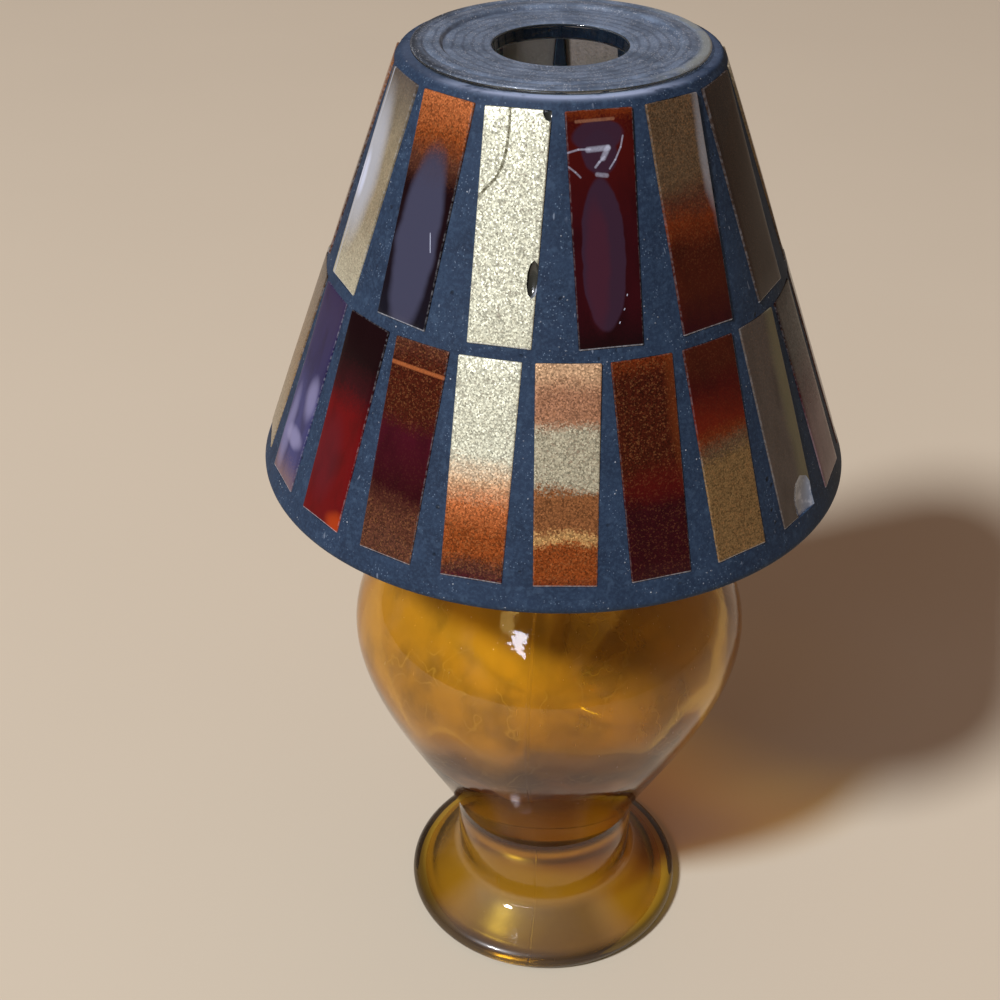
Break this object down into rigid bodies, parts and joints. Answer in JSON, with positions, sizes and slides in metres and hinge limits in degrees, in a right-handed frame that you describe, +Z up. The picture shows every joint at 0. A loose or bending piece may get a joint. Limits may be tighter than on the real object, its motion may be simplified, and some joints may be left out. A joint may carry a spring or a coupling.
{
  "type": "tealight lamp",
  "caption": "Small table lamp for a tealight: amber glass baluster base with a tealight seat, and a loose conical glass shade covered in glass mosaic tiles set in dark grout.",
  "frame": {"origin": "centre of the foot's standing ring, on the surface that the lamp stands on", "axes": "+Z up along the lamp's axis, -Y towards the front, +X to the right seen from the front"},
  "size_m": [0.0798, 0.0798, 0.1421],
  "materials": {
    "amber_glass": "clear amber, glossy",
    "clear_glass": "clear, dusty on top",
    "grout": "matt slate-blue grout with pits",
    "gold_glass": "glossy, champagne gold glitter in the glass",
    "copper_glass": "glossy, copper glitter in the glass",
    "maroon_glass": "glossy, dark red",
    "taupe_glass": "glossy, grey-gold glitter in the glass",
    "plum_glass": "glossy, plum with copper at one end",
    "tealight_foil": "thin bright pressed metal",
    "wax": "off-white wax",
    "clip_steel": "tinned steel",
    "wick_cotton": "waxed cotton"
  },
  "bodies": {
    "base": {"glass_base": "amber_glass"},
    "shade": {"shade_glass": "clear_glass", "grout": "grout", "tile_upper_01": "maroon_glass", "tile_upper_02": "copper_glass", "tile_upper_03": "taupe_glass", "tile_upper_04": "gold_glass", "tile_upper_05": "maroon_glass", "tile_upper_06": "plum_glass", "tile_upper_07": "copper_glass", "tile_upper_08": "taupe_glass", "tile_upper_09": "maroon_glass", "tile_upper_10": "gold_glass", "tile_upper_11": "copper_glass", "tile_upper_12": "taupe_glass", "tile_upper_13": "plum_glass", "tile_upper_14": "gold_glass", "tile_lower_01": "copper_glass", "tile_lower_02": "maroon_glass", "tile_lower_03": "gold_glass", "tile_lower_04": "taupe_glass", "tile_lower_05": "plum_glass", "tile_lower_06": "copper_glass", "tile_lower_07": "maroon_glass", "tile_lower_08": "gold_glass", "tile_lower_09": "copper_glass", "tile_lower_10": "taupe_glass", "tile_lower_11": "maroon_glass", "tile_lower_12": "plum_glass", "tile_lower_13": "gold_glass", "tile_lower_14": "copper_glass", "tile_lower_15": "maroon_glass", "tile_lower_16": "taupe_glass", "tile_lower_17": "gold_glass", "tile_lower_18": "plum_glass", "tile_lower_19": "maroon_glass", "tile_lower_20": "copper_glass", "tile_lower_21": "gold_glass"},
    "tealight": {"tealight_cup": "tealight_foil", "tealight_wax": "wax", "wick_clip": "clip_steel", "wick": "wick_cotton"}
  },
  "joints": [
    {"name": "shade_lift", "type": "slide", "parent": "base", "child": "shade", "axis": [0, 0, 1], "range_m": [0, 0.07]},
    {"name": "tealight_lift", "type": "slide", "parent": "base", "child": "tealight", "axis": [0, 0, 1], "range_m": [0, 0.012]}
  ]
}
